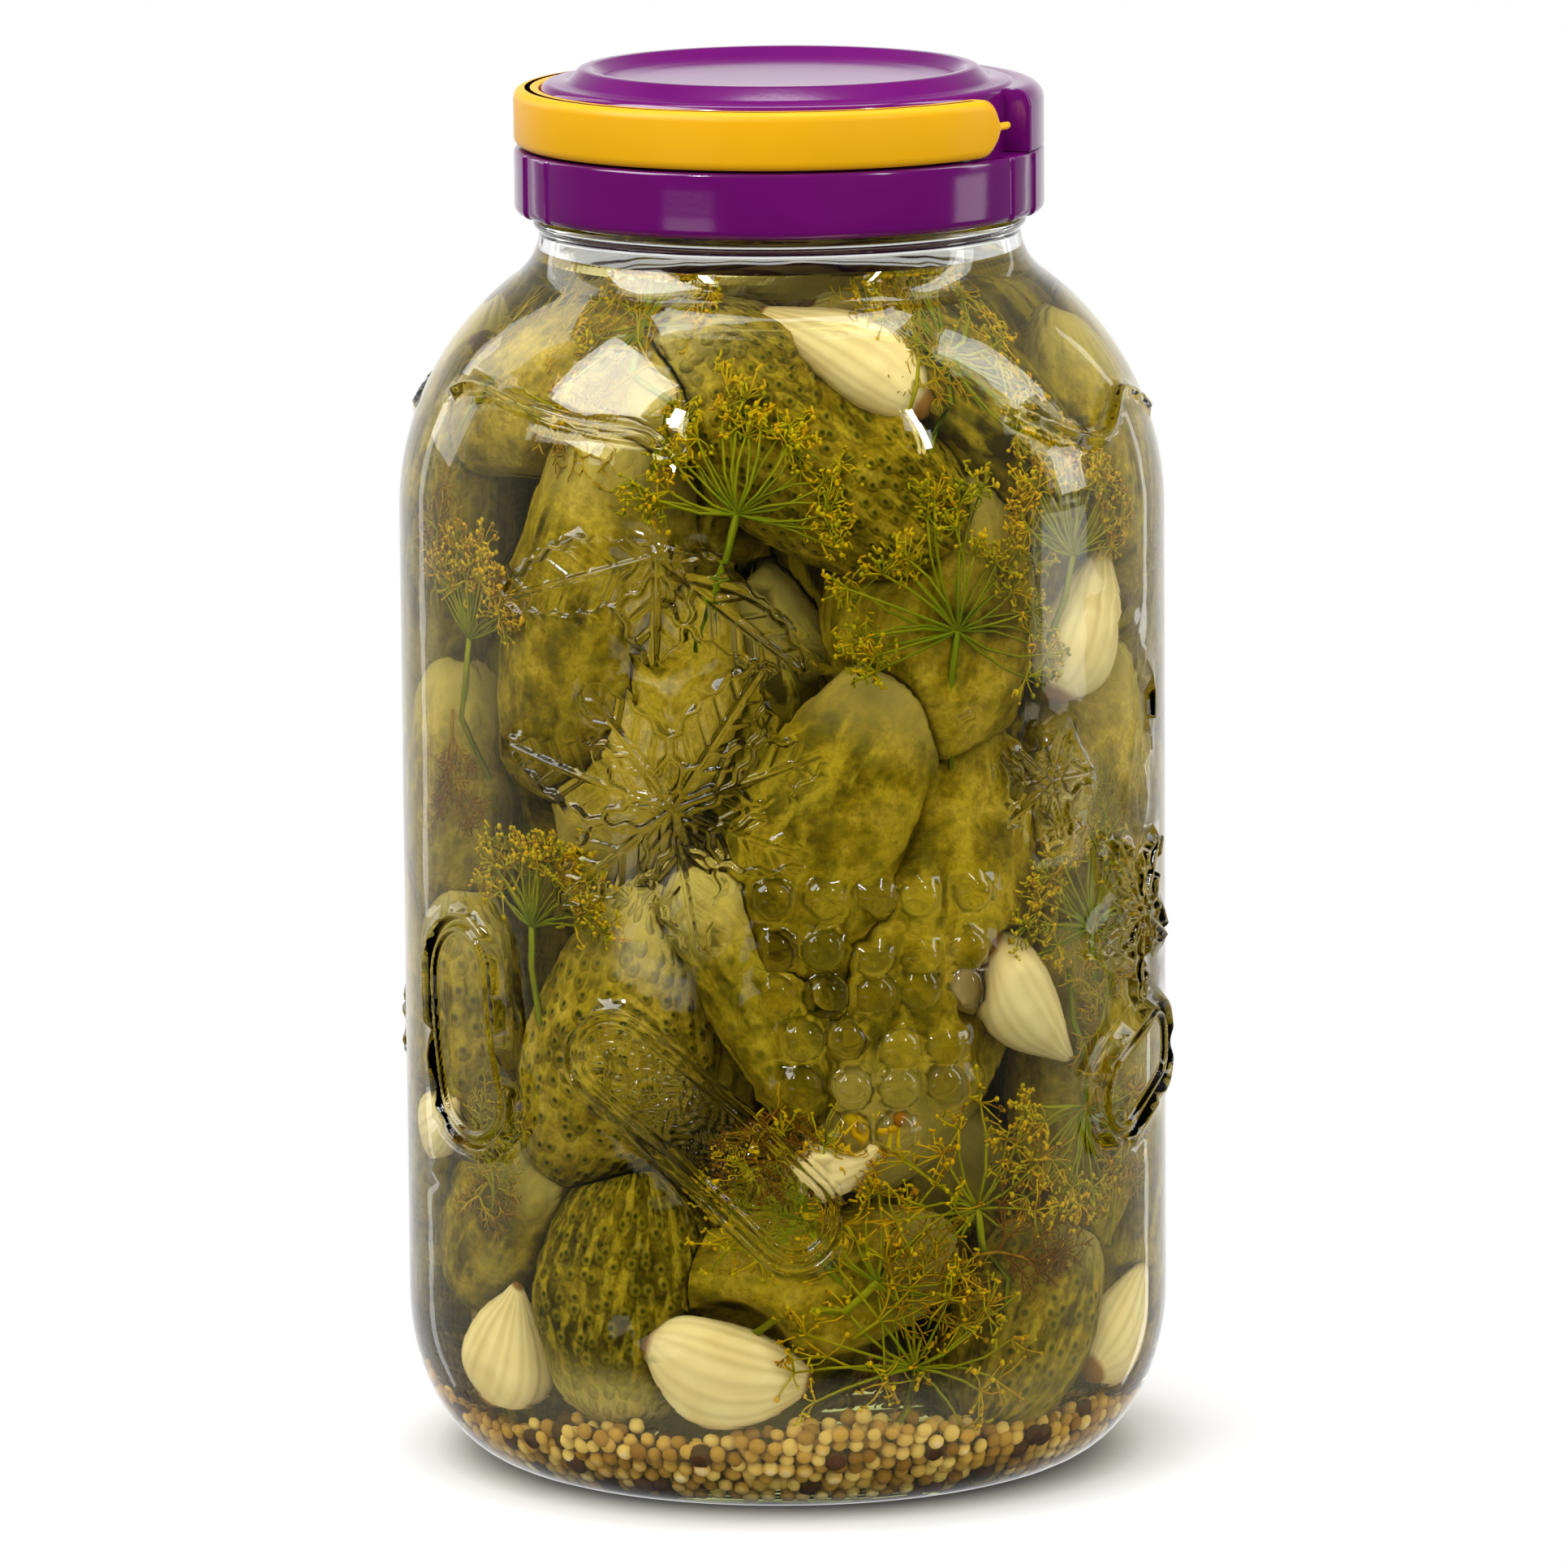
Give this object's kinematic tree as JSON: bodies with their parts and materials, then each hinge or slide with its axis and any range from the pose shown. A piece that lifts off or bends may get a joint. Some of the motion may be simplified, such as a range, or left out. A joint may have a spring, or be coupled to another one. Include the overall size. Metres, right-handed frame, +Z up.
{
  "type": "fermentation jar",
  "caption": "Clear glass jar of pickled cucumbers, garlic, dill and spice seeds in brine, with moulded fruit, a plastic screw lid and a swinging carry handle.",
  "frame": {"origin": "middle of the circle that the jar stands on", "axes": "+Z up along the jar's axis, the side with the whole leaf and the bunch of grapes facing -Y, +X to its right"},
  "size_m": [0.166, 0.1696, 0.3036],
  "materials": {
    "glass": "clear, polished",
    "brine": "clear, slightly yellow",
    "lid_plastic": "smooth, glossy",
    "handle_plastic": "smooth, satin gloss"
  },
  "bodies": {
    "jar": {"jar_glass": "glass", "brine": "brine", "screw_cap": "lid_plastic", "lid_cover": "lid_plastic"},
    "handle": {"handle": "handle_plastic"}
  },
  "joints": [
    {"name": "handle_swing", "type": "hinge", "parent": "jar", "child": "handle", "pos_m": [0, 0, 0.29335], "axis": [-0.7986, 0.6018, 0], "range_deg": [0, 95]}
  ]
}
